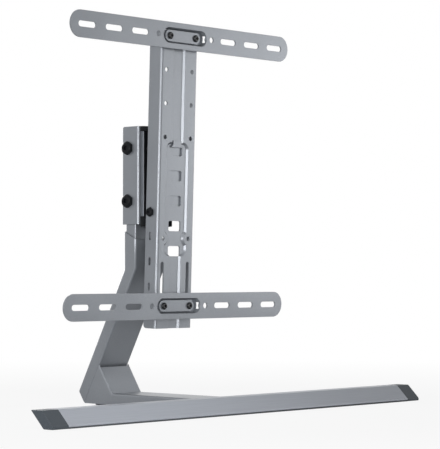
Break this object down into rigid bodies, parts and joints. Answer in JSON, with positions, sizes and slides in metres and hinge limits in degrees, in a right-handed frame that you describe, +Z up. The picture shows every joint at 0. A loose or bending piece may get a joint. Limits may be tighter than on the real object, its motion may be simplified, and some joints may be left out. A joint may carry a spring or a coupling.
{
  "type": "television stand with swivelling mount",
  "caption": "Table-top television stand: a weighted front bar and leaning neck carry a swivelling sheet-steel mast with two slotted bracket bars.",
  "frame": {"origin": "middle of the footprint's box, on the floor plane under the rubber strip and feet", "axes": "+X along the front bar towards its right end, +Y to the back, +Z up; the television hangs on the -Y side"},
  "size_m": [0.78, 0.334, 0.5717],
  "materials": {
    "painted_steel": "satin powder coat",
    "bar_aluminium": "satin anodised",
    "slate_plastic": "matt moulded",
    "rubber": "matt",
    "black_steel": "satin black",
    "zinc_steel": "zinc plated",
    "nylon": "moulded nylon"
  },
  "bodies": {
    "stand": {"front_bar": "bar_aluminium", "end_cap_left": "slate_plastic", "end_cap_right": "slate_plastic", "bar_grip_strip": "rubber", "bar_joining_plate": "painted_steel", "joining_screws": "black_steel", "base_channel": "painted_steel", "rubber_feet": "rubber", "neck": "painted_steel", "neck_bolts": "black_steel", "neck_nuts": "zinc_steel", "neck_tongue": "painted_steel", "hinge_post": "painted_steel", "post_bolts": "black_steel", "post_spacers": "zinc_steel", "post_nuts": "black_steel", "hinge_bracket": "black_steel", "hinge_bracket_bolts": "black_steel", "hinge_bracket_nuts": "zinc_steel", "hinge_pin": "black_steel", "hinge_nut": "black_steel"},
    "mast": {"hinge_bushes": "nylon", "mast_carrier": "painted_steel", "lock_screw": "black_steel", "mast": "painted_steel", "upper_clamp_plate": "painted_steel", "upper_clamp_screws": "black_steel", "upper_clamp_nuts": "zinc_steel"},
    "upper_bar": {"upper_bracket": "painted_steel"},
    "lower_clamp": {"lower_clamp_plate": "painted_steel", "lower_clamp_screws": "black_steel", "lower_clamp_nuts": "zinc_steel"},
    "lower_bar": {"lower_bracket": "painted_steel"}
  },
  "joints": [
    {"name": "swivel", "type": "hinge", "parent": "stand", "child": "mast", "pos_m": [0, 0.02169, 0.346], "axis": [0, 0, 1], "range_deg": [-25, 25]},
    {"name": "lower_bracket_height", "type": "slide", "parent": "mast", "child": "lower_clamp", "axis": [0, -0.0325, 0.9995], "range_m": [-0.007, 0.06]},
    {"name": "lower_bracket_shift", "type": "slide", "parent": "lower_clamp", "child": "lower_bar", "axis": [1, 0, 0], "range_m": [-0.006, 0.006]},
    {"name": "upper_bracket_shift", "type": "slide", "parent": "mast", "child": "upper_bar", "axis": [1, 0, 0], "range_m": [-0.006, 0.006]}
  ]
}
